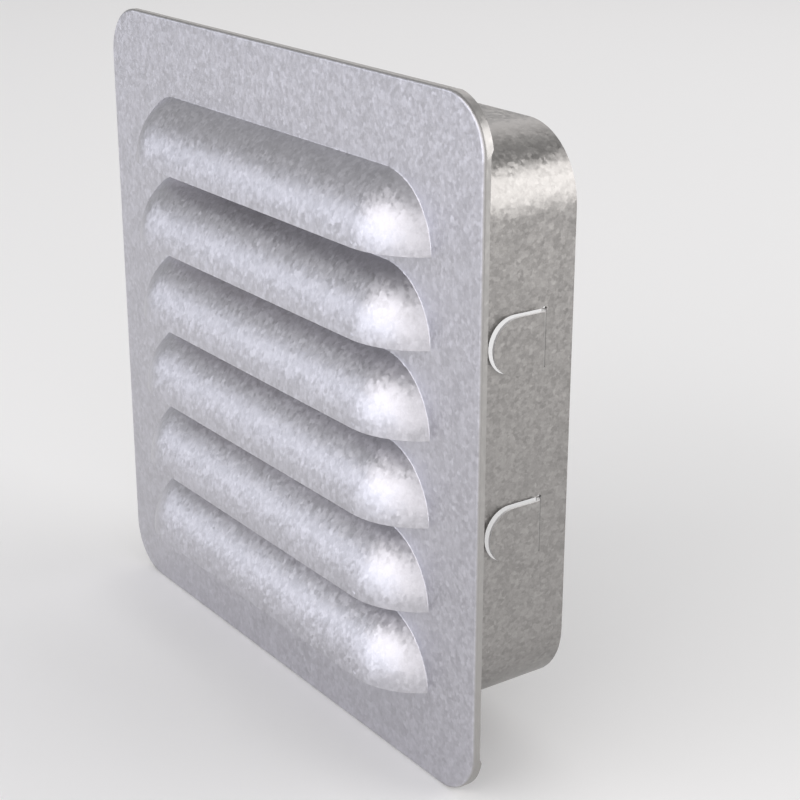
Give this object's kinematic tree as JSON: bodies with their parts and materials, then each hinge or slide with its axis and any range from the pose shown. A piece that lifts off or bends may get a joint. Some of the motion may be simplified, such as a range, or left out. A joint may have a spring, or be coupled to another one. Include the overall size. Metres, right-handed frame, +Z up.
{
  "type": "louvred vent grille",
  "caption": "Square louvred wall grille in galvanised sheet steel: a pressed plate of downward rain hoods on a rounded square collar held by spring tabs.",
  "frame": {"origin": "middle of the plate, on the face of the wall where the collar goes in", "axes": "+Y into the wall along the collar, +Z up, +X to the right as seen from the room or street side; the hoods stand out towards -Y and open downwards"},
  "size_m": [0.175, 0.0488, 0.175],
  "materials": {
    "plate_steel": "galvanised, fine spangle, half bright",
    "collar_steel": "galvanised, fine spangle, half bright"
  },
  "bodies": {
    "root": {"louvre_plate": "plate_steel", "wall_collar": "collar_steel"}
  },
  "joints": []
}
